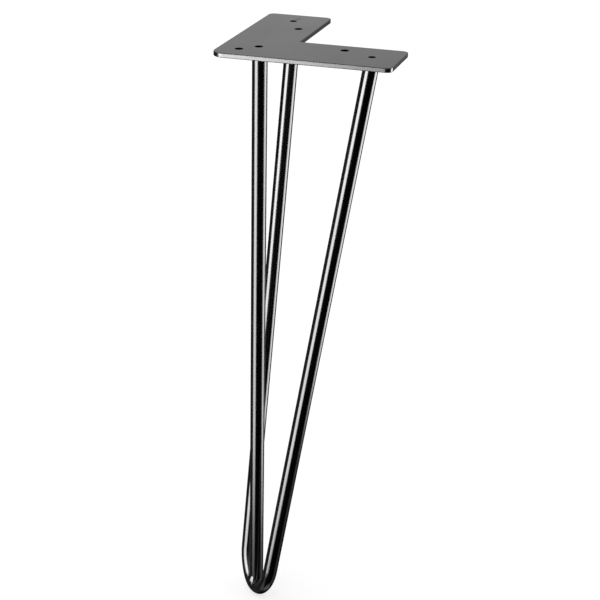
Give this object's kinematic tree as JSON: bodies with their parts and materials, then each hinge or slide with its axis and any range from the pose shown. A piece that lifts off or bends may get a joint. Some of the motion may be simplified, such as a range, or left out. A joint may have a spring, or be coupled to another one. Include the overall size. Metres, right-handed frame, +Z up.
{
  "type": "three-rod hairpin table leg",
  "caption": "Hairpin table leg: an L-shaped mounting plate over a leaning U-bent round bar and a straight brace rod that meet at a rounded foot.",
  "frame": {"origin": "point on the mounting plate's top face where the centre lines of its two arms cross", "axes": "+Z up, out of the plate's top face; +Y along the plate's diagonal, from its outer corner to its inner corner; +X across the diagonal. The foot is at the -Z end."},
  "size_m": [0.1614, 0.1089, 0.4093],
  "materials": {
    "coated_plate": "satin black coating",
    "coated_rod": "gloss black coating",
    "coated_weld": "gloss black coating over weld ripples"
  },
  "bodies": {
    "root": {"mounting_plate": "coated_plate", "hairpin_rod": "coated_rod", "corner_rod": "coated_rod", "corner_rod_weld": "coated_weld", "right_leg_weld": "coated_weld", "back_leg_weld": "coated_weld", "foot_weld": "coated_weld"}
  },
  "joints": []
}
